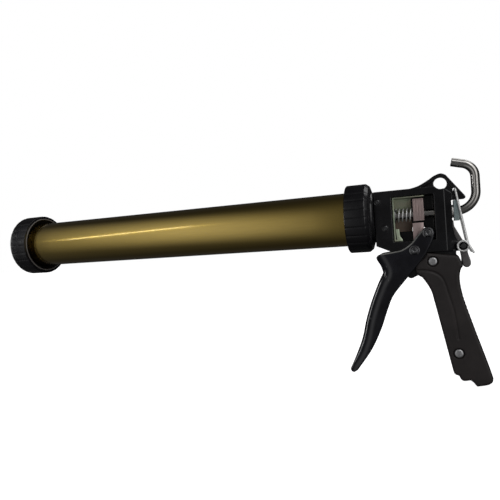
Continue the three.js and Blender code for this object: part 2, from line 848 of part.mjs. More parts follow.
function makeGripShell(side) {
  const whole = slab(gripShape(), -GRIP_Y, GRIP_Y, { bevel: 2.4, curveSegments: 3 });
  const [near, far] = side < 0 ? [-THROUGH, -GAP / 2] : [GAP / 2, THROUGH];
  const keep = box(0, 200, near, far, -200, 0);
  const coreY = CORE_Y + GAP;
  const tangY = TANG_Y + GAP;
  const core = slab(coreShape(), -coreY, coreY);
  const coreRoom = box(58, 98.4, -coreY, coreY, -57.9, -30);
  const tang = slab(tangShape(0.4), -tangY, tangY);
  const leverRoom = box(92, 112, -LEVER_SLOT_Y, LEVER_SLOT_Y, -60, -30);
  const { shank, recess, headSink, nutSink } = GRIP_SCREW;
  const screws = GRIP_SCREWS.flatMap((screw) => [
    barY(screw, shank + GAP, -THROUGH, THROUGH, 12),
    barY(screw, recess, -THROUGH, -CHEEK_Y + headSink, 20),
    barY(screw, recess, CHEEK_Y - nutSink, THROUGH, 20),
  ]);
  return cut(whole.intersect(keep), core, coreRoom, tang, leverRoom, ...screws);
}
add("grip_left_shell", makeGripShell(-1), GRIP_BLACK);
add("grip_right_shell", makeGripShell(1), GRIP_BLACK);

const GRIP_NUT = { acrossFlats: 7, thickness: 2.2 };
for (const { name, x, z } of GRIP_SCREWS) {
  const underHead = -CHEEK_Y + GRIP_SCREW.headSink - 0.1;
  const headTop = underHead - GRIP_SCREW.headHeight;
  const slot = box(x - 3, x + 3, headTop - 1, headTop + 0.8, z - 0.5, z + 0.5);
  const shank = barY({ x, z }, GRIP_SCREW.shank, underHead, CHEEK_Y - 0.6, 12);
  const head = barY({ x, z }, GRIP_SCREW.head, headTop, underHead, 20);
  add(`grip_screw_${name}`, cut(join(head, shank), slot), SCREW_STEEL);
  const { acrossFlats, thickness } = GRIP_NUT;
  const nut = add(
    `grip_nut_${name}`,
    hexNut(acrossFlats, thickness, GRIP_SCREW.shank + 0.1, "y"),
    SCREW_STEEL,
  );
  nut.position.set(x, CHEEK_Y - GRIP_SCREW.nutSink + thickness / 2 + 0.2, z);
}

// ---- Brake: plate on the rod, thumb lever and double torsion spring ----
const BRAKE = { x0: 98.2, x1: 102.7, y: 6.3, z0: -9, z1: 10.2 };
const brakePlate = cut(
  box(BRAKE.x0, BRAKE.x1, -BRAKE.y, BRAKE.y, BRAKE.z0, BRAKE.z1),
  barX(ROD_R + 0.6, BRAKE.x0 - 1, BRAKE.x1 + 1),
);
add("brake_plate", brakePlate, BLUE_ZINC);
add("brake_wave_washer", tubeX(ROD_R + 0.3, 6.2, 96.7, 97.8, 24), SPRING_STEEL);

function makeReleaseLever() {
  const tab = new THREE.Shape();
  tab.moveTo(100.8, -34);
  tab.splineThru(
    vectors([
      [102.2, -42.5],
      [102.4, -48.6],
      [104, -52.4],
      [107.2, -53.4],
      [109.9, -51.2],
      [110.1, -47],
      [108.3, -40.5],
      [107.4, -33],
    ]),
  );
  tab.closePath();
  const arm = polygon([
    [101.5, -34],
    [93.6, -13],
    [93.6, -8.3],
    [97.4, -8.3],
    [97.8, -14],
    [106, -31],
  ]);
  return cut(
    join(
      slab(tab, -3.6, 3.6, { bevel: 0.8, curveSegments: 3 }),
      slab(arm, -2.6, 2.6),
      barY(RELEASE_PIN, 4, -3.6, 3.6),
    ),
    barY(RELEASE_PIN, RELEASE_PIN.r + 0.1, -10, 10),
  );
}
add("release_lever", makeReleaseLever(), LEVER_GREY);

const PIN_HALF = 12.9;
const releasePin = join(
  barY(RELEASE_PIN, RELEASE_PIN.r, -PIN_HALF, PIN_HALF, 16),
  barY(RELEASE_PIN, RELEASE_PIN.r + 1.2, PIN_HALF, PIN_HALF + 1.2, 16),
);
add("release_pin", releasePin, BLACK_STEEL);

// One wire: tail, coil and arm on the near side, a bar through the ear, and the same back down.
const COIL = { r: 4.6, pitch: 2.1, start: 0, end: -12.09, tail: 10 };
class TorsionWire extends THREE.Curve {
  constructor() {
    super();
    const half = [];
    const point = (x, y, z) => new THREE.Vector3(x, y, z);
    const last = COIL.end;
    const coilY = (angle) => -RELEASE_ARM_Y + (COIL.pitch * angle) / (2 * Math.PI);
    const onCoil = (angle) =>
      point(
        RELEASE_PIN.x + COIL.r * Math.cos(angle),
        coilY(angle),
        RELEASE_PIN.z + COIL.r * Math.sin(angle),
      );
    const from = onCoil(last);
    const along = point(Math.sin(last), 0, -Math.cos(last));
    half.push(from.clone().addScaledVector(along, COIL.tail));
    half.push(from.clone().addScaledVector(along, COIL.tail / 2));
    const steps = 26;
    for (let i = 0; i <= steps; i++) {
      half.push(onCoil(last + ((COIL.start - last) * i) / steps));
    }
    const foot = onCoil(COIL.start);
    const head = point(SPRING_ANCHOR.x, -RELEASE_ARM_Y, SPRING_ANCHOR.z);
    for (const share of [0.06, 0.3, 0.6, 0.93, 0.99]) {
      half.push(foot.clone().lerp(head, share));
    }
    half.push(point(SPRING_ANCHOR.x, -RELEASE_ARM_Y + 1.6, SPRING_ANCHOR.z));
    const mirrored = half.map((p) => point(p.x, -p.y, p.z)).reverse();
    const middle = point(SPRING_ANCHOR.x, 0, SPRING_ANCHOR.z);
    this.inner = new THREE.CatmullRomCurve3([...half, middle, ...mirrored], false, "centripetal");
    this.inner.arcLengthDivisions = 800;
  }
  getPoint(t) {
    return this.inner.getPoint(t);
  }
}
const torsionWire = new TorsionWire();
torsionWire.arcLengthDivisions = 800;
add("release_spring", swept(torsionWire, WIRE_R, 110, 6), SPRING_STEEL);

// ---- Origin at the bottom centre of the whole gun's box ----
gun.updateMatrixWorld(true);
const bounds = new THREE.Box3().setFromObject(gun);
const centre = bounds.getCenter(new THREE.Vector3());
const assembly = new THREE.Group();
gun.position.set(-centre.x, -centre.y, -bounds.min.z);
assembly.add(gun);

export default assembly;
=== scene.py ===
"""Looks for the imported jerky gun: fine meshes and procedural materials around the fixed CAD frame."""

import json
import math

import bmesh
import bpy
import numpy as np
from mathutils import Matrix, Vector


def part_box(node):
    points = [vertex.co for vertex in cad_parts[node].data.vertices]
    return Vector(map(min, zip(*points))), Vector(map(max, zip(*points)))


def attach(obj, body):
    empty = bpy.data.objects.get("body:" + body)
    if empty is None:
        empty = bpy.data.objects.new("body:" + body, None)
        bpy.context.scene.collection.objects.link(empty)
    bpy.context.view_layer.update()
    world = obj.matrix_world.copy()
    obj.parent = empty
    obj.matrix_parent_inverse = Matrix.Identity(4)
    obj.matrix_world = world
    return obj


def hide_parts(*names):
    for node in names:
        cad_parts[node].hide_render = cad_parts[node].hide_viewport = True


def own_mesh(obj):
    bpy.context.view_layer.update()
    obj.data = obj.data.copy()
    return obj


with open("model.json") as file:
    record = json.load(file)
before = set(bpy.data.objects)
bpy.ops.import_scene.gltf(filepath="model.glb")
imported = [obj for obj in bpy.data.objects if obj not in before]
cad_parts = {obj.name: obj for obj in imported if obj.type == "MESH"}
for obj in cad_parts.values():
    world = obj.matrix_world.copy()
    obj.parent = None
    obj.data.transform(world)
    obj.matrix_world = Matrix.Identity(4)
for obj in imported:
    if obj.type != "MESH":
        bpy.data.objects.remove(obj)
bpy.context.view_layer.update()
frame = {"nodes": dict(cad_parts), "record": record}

MM = 0.001
TAU = 2 * math.pi
NODES = frame["nodes"]
BODY_OF = {n: b for b, ns in frame["record"]["behaviour"]["bodies"].items() for n in ns}
SLOT_OF = {s["node"]: s["material_slot"] for s in frame["record"]["subparts"]}

# The drawing's frame: x = 0 at the rear cap's front edge and z = 0 on the barrel's axis, in millimetres.
AXIS_Z = sum(c.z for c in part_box("barrel")) / 2
DRAW_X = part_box("rear_cap")[0].x


def place(points):
    """Points of the drawing, in millimetres, as points of the row frame, in metres."""
    out = np.asarray(points, float) * MM
    out[:, 0] += DRAW_X
    out[:, 2] += AXIS_Z
    return out


# ---------------------------------------------------------------- materials
def new_material(name, **sockets):
    """A node material with constant values set on its shader's own sockets."""
    mat = bpy.data.materials.new(name)
    mat.use_nodes = True
    tree = mat.node_tree
    shader = tree.nodes["Principled BSDF"]
    for key, value in sockets.items():
        shader.inputs[key.replace("_", " ")].default_value = value
    return mat, tree, shader


def node(tree, kind, values=None, **settings):
    made = tree.nodes.new("ShaderNode" + kind)
    for key, value in settings.items():
        setattr(made, key, value)
    for key, value in (values or {}).items():
        made.inputs[key].default_value = value
    return made


def coordinates(tree, scale=(1, 1, 1)):
    """Object coordinates in metres, stretched per axis."""
    texco = node(tree, "TexCoord")
    mapping = node(tree, "Mapping", {"Scale": scale})
    tree.links.new(texco.outputs["Object"], mapping.inputs["Vector"])
    return mapping.outputs["Vector"]


def noise(tree, vector, scale, detail=4, rough=0.5, distortion=0.0):
    made = node(
        tree, "TexNoise", {"Scale": scale, "Detail": detail, "Roughness": rough, "Distortion": distortion}
    )
    tree.links.new(vector, made.inputs["Vector"])
    return made.outputs["Fac"]


def ramp(tree, factor, stops):
    made = node(tree, "ValToRGB")
    elements = made.color_ramp.elements
    while len(elements) > 1:
        elements.remove(elements[-1])
    for i, (at, colour) in enumerate(stops):
        element = elements[0] if i == 0 else elements.new(at)
        element.position = at
        element.color = (*colour, 1)
    tree.links.new(factor, made.inputs["Fac"])
    return made.outputs["Color"]


def remap(tree, factor, low, high, from_low=0.0, from_high=1.0):
    """A factor's from_low..from_high run stretched to low..high, and held flat past both ends."""
    values = {"From Min": from_low, "From Max": from_high, "To Min": low, "To Max": high}
    made = node(tree, "MapRange", values, clamp=True)
    tree.links.new(factor, made.inputs["Value"])
    return made.outputs["Result"]


def mixed(tree, factor, a, b):
    """Colour a where the factor is 0, running to colour b where it is 1."""
    made = node(tree, "Mix", data_type="RGBA")
    tree.links.new(factor, made.inputs[0])
    for socket, value in ((made.inputs[6], a), (made.inputs[7], b)):
        if isinstance(value, tuple):
            socket.default_value = (*value, 1)
        else:
            tree.links.new(value, socket)
    return made.outputs[2]


def maths(tree, operation, a, b=0.5):
    made = node(tree, "Math", operation=operation)
    for socket, value in ((made.inputs[0], a), (made.inputs[1], b)):
        if isinstance(value, (int, float)):
            socket.default_value = value
        else:
            tree.links.new(value, socket)
    return made.outputs[0]


def bumped(tree, shader, heights):
    """Chains bump nodes: each item is (height socket, strength, distance in metres)."""
    normal = None
    for height, strength, distance in heights:
        made = node(tree, "Bump", {"Strength": strength, "Distance": distance})
        tree.links.new(height, made.inputs["Height"])
        if normal is not None:
            tree.links.new(normal, made.inputs["Normal"])
        normal = made.outputs["Normal"]
    tree.links.new(normal, shader.inputs["Normal"])


def edge_wear(tree):
    """1 on worn convex edges, from the mesh's pointiness, broken up by noise."""
    geometry = node(tree, "NewGeometry")
    broken = noise(tree, coordinates(tree), 400, 3)
    spread = maths(tree, "ADD", geometry.outputs["Pointiness"], maths(tree, "MULTIPLY", broken, 0.06))
    return remap(tree, spread, 0, 1, 0.55, 0.65)


def marked(tree, name):
    """How strongly a mesh's own point attribute marks each place. It is 0 where there is none."""
    return node(tree, "Attribute", attribute_name=name).outputs["Fac"]


def mark(obj, name, values):
    """Stores one value per vertex, which a material reads with marked."""
    attribute = obj.data.attributes.new(name, "FLOAT", "POINT")
    attribute.data.foreach_set("value", np.asarray(values, float))


def gold_anodised():
    """Drawn and anodised aluminium: a clear, glossy skin over fine lines that run along the tube."""
    mat, tree, shader = new_material("gold_anodised", Metallic=1.0, Coat_Weight=1.0, Coat_Roughness=0.05)
    drawn = noise(tree, coordinates(tree, (6, 260, 260)), 6, 5, 0.6)
    cloudy = noise(tree, coordinates(tree, (1, 4, 4)), 9, 3)
    base = ramp(tree, cloudy, [(0.3, (0.46, 0.322, 0.064)), (0.7, (0.53, 0.378, 0.082))])
    tinted = mixed(tree, remap(tree, drawn, 0, 0.35, 0.35, 0.75), base, (0.36, 0.25, 0.05))
    tree.links.new(tinted, shader.inputs["Base Color"])
    scuffs = noise(tree, coordinates(tree, (30, 120, 120)), 12, 6, 0.7)
    rough = maths(tree, "ADD", remap(tree, drawn, 0.15, 0.22), remap(tree, scuffs, 0, 0.06, 0.62, 0.75))
    tree.links.new(rough, shader.inputs["Roughness"])
    bumped(tree, shader, [(drawn, 0.08, 0.00005), (scuffs, 0.05, 0.00005)])
    return mat


def black_coat(name, colour, rough, orange_peel=0.12, wear=0.5, coat=0.3):
    """Smooth black paint on a casting: faint orange peel, dust, thin worn edges and a painted highlight along
    edges that a piece marks.
    """
    mat, tree, shader = new_material(name, Coat_Weight=coat, Coat_Roughness=0.1)
    shader.inputs["Specular IOR Level"].default_value = 0.3
    peel = noise(tree, coordinates(tree), 900, 2)
    patches = noise(tree, coordinates(tree), 60, 5, 0.6)
    dust = noise(tree, coordinates(tree), 2600, 2, 0.7)
    tone = tuple(c * 1.9 for c in colour)
    body = mixed(tree, remap(tree, patches, 0, 1, 0.35, 0.7), colour, tone)
    specks = remap(tree, dust, 0, 0.35, 0.68, 0.8)
    dusty = mixed(tree, specks, body, (0.09, 0.09, 0.095))
    worn = maths(tree, "MULTIPLY", edge_wear(tree), wear)
    edged = mixed(tree, worn, dusty, (0.16, 0.16, 0.165))
    # Painted highlight: a pale band along the marked edges, standing in for light caught on a rounded edge.
    painted_highlight = maths(tree, "MULTIPLY", marked(tree, "painted_highlight_edge"), remap(tree, patches, 0.45, 1, 0.35, 0.6))
    tree.links.new(mixed(tree, painted_highlight, edged, (0.3, 0.3, 0.28)), shader.inputs["Base Color"])
    tree.links.new(remap(tree, patches, rough - 0.06, rough + 0.1, 0.3, 0.7), shader.inputs["Roughness"])
    bumped(tree, shader, [(peel, orange_peel, 0.0002), (patches, 0.05, 0.0005)])
    return mat


def moulded(name, colour, rough, grain_scale=1500, grain=0.25, lift=1.6, shine=0.35):
    """Moulded plastic: fine spark-eroded grain, soft tone changes, rubbed edges and a paler band where a
    piece marks its lip.
    """
    mat, tree, shader = new_material(name)
    shader.inputs["Specular IOR Level"].default_value = shine
    grains = noise(tree, coordinates(tree), grain_scale, 3, 0.6)
    patches = noise(tree, coordinates(tree), 45, 5, 0.6)
    rubs = noise(tree, coordinates(tree, (1, 1, 0.3)), 180, 5, 0.7)
    body = mixed(tree, remap(tree, patches, 0, 1, 0.35, 0.7), colour, tuple(c * lift for c in colour))
    rubbed = mixed(tree, remap(tree, rubs, 0, 0.35, 0.6, 0.8), body, tuple(c * 2.6 for c in colour))
    pale = tuple(min(1, c * 4) for c in colour)
    worn = maths(tree, "MULTIPLY", edge_wear(tree), 0.45)
    edged = mixed(tree, worn, rubbed, pale)
    # A paler band on the lip that a piece marks.
    lip = maths(tree, "MULTIPLY", marked(tree, "pale_lip"), remap(tree, rubs, 0.6, 1, 0.3, 0.6))
    tree.links.new(mixed(tree, lip, edged, (0.19, 0.175, 0.165)), shader.inputs["Base Color"])
    tree.links.new(remap(tree, rubs, rough + 0.06, rough - 0.1, 0.3, 0.75), shader.inputs["Roughness"])
    bumped(tree, shader, [(grains, grain, 0.0001), (patches, 0.04, 0.0005)])
    return mat


def bright_steel(name, colour, rough, along=(8, 500, 500), stain=None, stain_share=0.5, metal=1.0):
    """Drawn or ground steel: fine lines along one direction, stains and small pits."""
    mat, tree, shader = new_material(name, Metallic=metal)
    lines = noise(tree, coordinates(tree, along), 5, 4, 0.6)
    stains = noise(tree, coordinates(tree), 140, 5, 0.65, 0.4)
    darker = tuple(c * 0.72 for c in colour)
    body = mixed(tree, remap(tree, lines, 0, 1, 0.35, 0.7), colour, darker)
    stain = stain or tuple(c * 0.6 for c in colour)
    stained = mixed(tree, remap(tree, stains, 0, stain_share, 0.5, 0.75), body, stain)
    tree.links.new(stained, shader.inputs["Base Color"])
    line_rough = remap(tree, lines, rough - 0.05, rough + 0.08)
    stain_rough = remap(tree, stains, 0, 0.15, 0.5, 0.8)
    tree.links.new(maths(tree, "ADD", line_rough, stain_rough), shader.inputs["Roughness"])
    bumped(tree, shader, [(lines, 0.1, 0.00005), (stains, 0.06, 0.0001)])
    return mat


def zinc_plated(name, colour, darker, drift_stops=None):
    """Passivated zinc: a fine spangle over a tone that drifts in hue, with painted brown shade where a piece
    marks it.
    """
    mat, tree, shader = new_material(name, Metallic=0.8)
    drift = noise(tree, coordinates(tree), 55, 3, 0.6, 0.6)
    spangle = noise(tree, coordinates(tree), 900, 3, 0.7)
    stops = drift_stops or [(0.35, darker), (0.6, colour)]
    tinted = mixed(tree, remap(tree, spangle, 0, 0.5, 0.4, 0.75), ramp(tree, drift, stops), darker)
    # Painted shade: the colour runs to dark brown where the marked value is high.
    painted_shade = remap(tree, marked(tree, "brown_painted_shade"), 0, 0.85, 0.57, 0.66)
    tree.links.new(mixed(tree, painted_shade, tinted, (0.17, 0.1, 0.085)), shader.inputs["Base Color"])
    tree.links.new(remap(tree, spangle, 0.32, 0.5), shader.inputs["Roughness"])
    bumped(tree, shader, [(spangle, 0.15, 0.0001)])
    return mat


# Greenish-grey that drifts towards yellow, pink and blue.
CHROMATE = [
    (0.3, (0.42, 0.5, 0.37)),
    (0.5, (0.52, 0.58, 0.43)),
    (0.62, (0.56, 0.56, 0.42)),
    (0.72, (0.52, 0.44, 0.38)),
    (0.84, (0.4, 0.46, 0.46)),
]


def rubber(name, colour):
    """Dull moulded rubber with a pale bloom."""
    mat, tree, shader = new_material(name)
    shader.inputs["Specular IOR Level"].default_value = 0.3
    grains = noise(tree, coordinates(tree), 2200, 3)
    bloom = noise(tree, coordinates(tree), 90, 4)
    body = mixed(tree, remap(tree, bloom, 0, 1, 0.4, 0.75), colour, tuple(c * 2 for c in colour))
    tree.links.new(body, shader.inputs["Base Color"])
    tree.links.new(remap(tree, grains, 0.62, 0.8), shader.inputs["Roughness"])
    bumped(tree, shader, [(grains, 0.2, 0.0001)])
    return mat


def bronze(name):
    """Sintered bronze: a warm metal with small dark pores."""
    mat, tree, shader = new_material(name, Metallic=1.0)
    pores = noise(tree, coordinates(tree), 3200, 2, 0.7)
    tone = noise(tree, coordinates(tree), 120, 4)
    base = ramp(tree, tone, [(0.35, (0.42, 0.27, 0.12)), (0.7, (0.56, 0.40, 0.2))])
    dotted = mixed(tree, remap(tree, pores, 0, 0.7, 0.62, 0.75), base, (0.13, 0.08, 0.04))
    tree.links.new(dotted, shader.inputs["Base Color"])
    tree.links.new(remap(tree, tone, 0.3, 0.45), shader.inputs["Roughness"])
    bumped(tree, shader, [(pores, 0.2, 0.0001)])
    return mat


MATERIALS = {
    "gold_anodised": gold_anodised(),
    "cap_plastic": moulded("cap_plastic", (0.0045, 0.0043, 0.0054), 0.27, 1800, 0.12, 1.7, 0.4),
    "cast_black": black_coat("cast_black", (0.0028, 0.0026, 0.0034), 0.24),
    "lever_black": black_coat("lever_black", (0.003, 0.003, 0.0052), 0.21, 0.06, 0.4, 0.45),
    "grip_plastic": moulded("grip_plastic", (0.016, 0.013, 0.0128), 0.55),
    "rod_steel": bright_steel("rod_steel", (0.48, 0.465, 0.445), 0.15),
    "spring_steel": bright_steel("spring_steel", (0.95, 0.95, 0.94), 0.3, (60, 60, 60), None, 0.25, 0.6),
    "zinc_plate": zinc_plated("zinc_plate", (0.5, 0.55, 0.42), (0.34, 0.39, 0.3), CHROMATE),
    "plate_steel": bright_steel("plate_steel", (0.5, 0.39, 0.375), 0.45, (900, 60, 60), (0.36, 0.27, 0.24)),
    "screw_steel": bright_steel("screw_steel", (0.56, 0.56, 0.57), 0.33, (250, 60, 250)),
    "rubber": rubber("rubber", (0.011, 0.011, 0.011)),
    "nozzle_plastic": moulded("nozzle_plastic", (0.74, 0.72, 0.67), 0.4, 1600, 0.1, 1.08),
    "bronze": bronze("bronze"),
    "lever_grey": bright_steel("lever_grey", (0.2, 0.19, 0.19), 0.45, (300, 300, 40), (0.1, 0.09, 0.085)),
    "black_steel": bright_steel("black_steel", (0.16, 0.16, 0.165), 0.22, (250, 60, 250), (0.04, 0.04, 0.04)),
    "blue_zinc": zinc_plated("blue_zinc", (0.42, 0.5, 0.5), (0.3, 0.37, 0.38)),
}


# ---------------------------------------------------------------- mesh helpers
def shade(obj, degrees):
    for polygon in obj.data.polygons:
        polygon.use_smooth = True
    obj.data.set_sharp_from_angle(angle=math.radians(degrees))


def finish_piece(obj, cad_node, smooth_degrees=32):
    """Gives a piece its node's material, slot and body, and hides the node it stands for."""
    obj.data.materials.clear()
    obj.data.materials.append(MATERIALS[SLOT_OF[cad_node]])
    shade(obj, smooth_degrees)
    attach(obj, BODY_OF[cad_node])
    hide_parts(cad_node)
    return obj


def object_from(name, vertices, faces):
    """A mesh object from points of the drawing."""
    data = bpy.data.meshes.new(name)
    data.from_pydata([tuple(v) for v in place(vertices)], [], faces)
    data.validate()
    obj = bpy.data.objects.new(name, data)
    bpy.context.scene.collection.objects.link(obj)
    return obj


def outward(obj):
    """Joins doubled vertices and turns every face outwards."""
    mesh = bmesh.new()
    mesh.from_mesh(obj.data)
    bmesh.ops.remove_doubles(mesh, verts=mesh.verts, dist=1e-7)
    bmesh.ops.recalc_face_normals(mesh, faces=mesh.faces)
    mesh.to_mesh(obj.data)
    mesh.free()
    return obj


def grid_faces(rows, columns, close_rows=True):
    """Quads of a grid whose columns wrap round, and whose rows wrap round too if asked."""
    last = rows if close_rows else rows - 1
    faces = []
    for i in range(last):
        for j in range(columns):
            a, b = i * columns, ((i + 1) % rows) * columns
            k = (j + 1) % columns
            faces.append((a + j, a + k, b + k, b + j))
    return faces


def fillet(points, radii, steps=5):
    """A closed polygon with each corner rounded by an arc of its own radius."""
    points = [np.array(p, float) for p in points]
    out = []
    for i, here in enumerate(points):
        radius = radii if isinstance(radii, (int, float)) else radii[i]
        before, after = points[i - 1], points[(i + 1) % len(points)]
        u, v = before - here, after - here
        lu, lv = np.linalg.norm(u), np.linalg.norm(v)
        u, v = u / lu, v / lv
        half = math.acos(max(-1, min(1, float(u @ v)))) / 2
        if radius <= 0 or half > math.radians(86):
            out.append(here)
            continue
        reach = min(radius / math.tan(half), 0.48 * lu, 0.48 * lv)
        radius = reach * math.tan(half)
        centre = here + (u + v) / np.linalg.norm(u + v) * radius / math.sin(half)
        start, end = here + u * reach - centre, here + v * reach - centre
        a0 = math.atan2(start[1], start[0])
        turn = (math.atan2(end[1], end[0]) - a0 + math.pi) % TAU - math.pi
        for k in range(steps + 1):
            a = a0 + turn * k / steps
            out.append(centre + radius * np.array([math.cos(a), math.sin(a)]))
    return out


def lathe(name, cad_node, profile, segments=96, radius_at=None, degrees=32):
    """A closed [radius, x] profile turned about the barrel's axis. radius_at can vary it with the angle."""
    angles = np.arange(segments) * TAU / segments
    vertices = []
    for r, x in profile:
        radii = np.full(segments, r) if radius_at is None else radius_at(angles, r)
        ring = np.column_stack([np.full(segments, x), radii * np.cos(angles), radii * np.sin(angles)])
        vertices.append(ring)
    obj = object_from(name, np.vstack(vertices), grid_faces(len(profile), segments))
    return finish_piece(outward(obj), cad_node, degrees)


def rings_along(path, radius, sides):
    """Circles round a path of points, with frames carried along it without twist."""
    path = np.asarray(path, float)
    tangents = np.gradient(path, axis=0)
    tangents /= np.linalg.norm(tangents, axis=1)[:, None]
    up = np.array([0.0, 1.0, 0.0])
    if abs(tangents[0] @ up) > 0.9:
        up = np.array([1.0, 0.0, 0.0])
    normal = up - tangents[0] * (up @ tangents[0])
    normal /= np.linalg.norm(normal)
    angles = np.arange(sides) * TAU / sides
    rings = []
    for point, tangent in zip(path, tangents):
        normal = normal - tangent * (normal @ tangent)
        normal /= np.linalg.norm(normal)
        other = np.cross(tangent, normal)
        rings.append(point + radius * (np.cos(angles)[:, None] * normal + np.sin(angles)[:, None] * other))
    return rings


def tube(name, path, radius, sides=20, end_bevel=0.3):
    """A solid bar along a path, with small bevels at its flat ends."""
    path = np.asarray(path, float)
    rings = rings_along(path, radius, sides)
    first, last = rings[0], rings[-1]
    c0, c1 = first.mean(0), last.mean(0)
    t0 = (path[1] - path[0]) / np.linalg.norm(path[1] - path[0])
    t1 = (path[-1] - path[-2]) / np.linalg.norm(path[-1] - path[-2])
    shrink = 1 - end_bevel / radius
    all_rings = [c0 + (first - c0) * shrink, first + t0 * end_bevel, *rings[1:-1], last - t1 * end_bevel,
                 c1 + (last - c1) * shrink]
    count = len(all_rings)
    faces = grid_faces(count, sides, close_rows=False)
    faces.append(tuple(reversed(range(sides))))
    faces.append(tuple((count - 1) * sides + j for j in range(sides)))
    return outward(object_from(name, np.vstack(all_rings), faces))


def spline(points, spacing):
    """Catmull-Rom points through the given ones, about spacing apart."""
    p = [np.array(q, float) for q in points]
    n = len(p)
    out = []
    for i in range(n - 1):
        p1, p2 = p[i], p[i + 1]
        p0 = p[i - 1] if i > 0 else 2 * p1 - p2
        p3 = p[i + 2] if i + 2 < n else 2 * p2 - p1
        t0, t1 = 0.0, max(np.linalg.norm(p1 - p0), 1e-6) ** 0.5
        t2 = t1 + max(np.linalg.norm(p2 - p1), 1e-6) ** 0.5
        t3 = t2 + max(np.linalg.norm(p3 - p2), 1e-6) ** 0.5
        steps = max(1, int(round(np.linalg.norm(p2 - p1) / spacing)))
        for k in range(steps):
            t = t1 + (t2 - t1) * k / steps
            a1 = (t1 - t) / (t1 - t0) * p0 + (t - t0) / (t1 - t0) * p1
            a2 = (t2 - t) / (t2 - t1) * p1 + (t - t1) / (t2 - t1) * p2
            a3 = (t3 - t) / (t3 - t2) * p2 + (t - t2) / (t3 - t2) * p3
            b1 = (t2 - t) / (t2 - t0) * a1 + (t - t0) / (t2 - t0) * a2
            b2 = (t3 - t) / (t3 - t1) * a2 + (t - t1) / (t3 - t1) * a3
            out.append((t2 - t) / (t2 - t1) * b1 + (t - t1) / (t2 - t1) * b2)
    out.append(p[-1])
    return np.array(out)


def prism(name, outline, y0, y1):
    """An outline in [x, z] made solid from y0 to y1."""
    n = len(outline)
    vertices = [(x, y, z) for y in (y0, y1) for x, z in outline]
    faces = grid_faces(2, n, close_rows=False)
    faces += [tuple(reversed(range(n))), tuple(n + j for j in range(n))]
    return outward(object_from(name, vertices, faces))


def placed_points(obj):
    """A piece's vertices as points of the drawing, in millimetres."""
    points = np.empty(len(obj.data.vertices) * 3)
    obj.data.vertices.foreach_get("co", points)
    return (points.reshape(-1, 3) - place([(0, 0, 0)])[0]) / MM


def move_points(obj, points):
    """Moves a piece's vertices to points of the drawing."""
    obj.data.vertices.foreach_set("co", place(points).ravel())
    obj.data.update()


def apply_modifier(obj, kind, **settings):
    modifier = obj.modifiers.new(kind, kind)
    for key, value in settings.items():
        setattr(modifier, key, value)
    with bpy.context.temp_override(object=obj, active_object=obj, selected_objects=[obj]):
        bpy.ops.object.modifier_apply(modifier=modifier.name)
    return obj


def carve(obj, *cutters, operation="DIFFERENCE"):
    """Cuts each cutter out of a piece, or joins it on, and removes the cutter."""
    for cutter in cutters:
        apply_modifier(obj, "BOOLEAN", object=cutter, operation=operation, solver="EXACT")
        bpy.data.objects.remove(cutter)
    return obj


def copy_of(cad_node, name):
    """A free copy of a CAD node's solid. The node itself stays as it is."""
    obj = NODES[cad_node].copy()
    obj.data = NODES[cad_node].data.copy()
    obj.name = name
    obj.parent = None
    for key in list(obj.keys()):
        del obj[key]
    bpy.context.scene.collection.objects.link(obj)
    return outward(obj)


def casting(cad_node, name, voxel=0.45, rounds=6, keep=0.35, cutters=(), extra=None):
    """A node's solid with rounded, cast-looking edges: remeshed finely, relaxed and thinned out."""
    obj = carve(copy_of(cad_node, name), *cutters)
    apply_modifier(obj, "REMESH", mode="VOXEL", voxel_size=voxel * MM)
    apply_modifier(obj, "SMOOTH", factor=0.5, iterations=rounds)
    if extra is not None:
        extra(obj)
    apply_modifier(obj, "DECIMATE", decimate_type="COLLAPSE", ratio=keep)
    return finish_piece(obj, cad_node, 60)


# ---------------------------------------------------------------- barrel end
BARREL_R, BORE_R = 27.0, 25.5
BARREL_X = (-409.0, 14.5)
FRONT_CAP_R, REAR_CAP_R = 36.8, 34.1
CAP_RIBS = 24


def thread(start, direction, turns=5, pitch=1.6, depth=0.55):
    """A rolled thread's profile, from the tube's end inwards."""
    points = []
    for i in range(turns):
        x = start + direction * (1.0 + i * pitch)
        for share, drop in ((0.0, 0.0), (0.2, 0.45), (0.4, 1.0), (0.6, 1.0), (0.8, 0.45)):
            points.append((BARREL_R - depth * drop, x + direction * share * pitch))
    return points


def barrel_profile():
    """The tube's section, with a thread near each end."""
    x0, x1 = BARREL_X
    waist = [(BARREL_R, x) for x in np.linspace(x0 + 12, x1 - 12, 12)]
    front = [(BARREL_R - 0.6, x0), *thread(x0, 1)]
    rear = [*reversed(thread(x1, -1)), (BARREL_R - 0.6, x1)]
    bore = [(BORE_R + 0.3, x1), (BORE_R, x1 - 0.6), (BORE_R, x0 + 0.6), (BORE_R + 0.3, x0)]
    return [*front, *waist, *rear, *bore]


lathe("barrel_tube", "barrel", barrel_profile(), 160)


def ribs(outer, depth, fade):
    """Broad ribs with soft shoulders, on whatever lies near the outer radius."""

    def radius_at(angles, r):
        share = np.clip((r - (outer - fade)) / fade, 0, 1)
        phase = (angles * CAP_RIBS / TAU) % 1.0
        away = np.abs(phase - 0.5) * 2
        groove = np.clip((away - 0.78) / 0.16, 0, 1)
        groove = groove * groove * (3 - 2 * groove)
        return np.full_like(angles, r) - depth * share * groove

    return radius_at


def rounded(points, radii, steps=5):
    """A section for lathe: [radius, x] corners, each rounded by its own radius."""
    return [tuple(p) for p in fillet(points, radii, steps)]


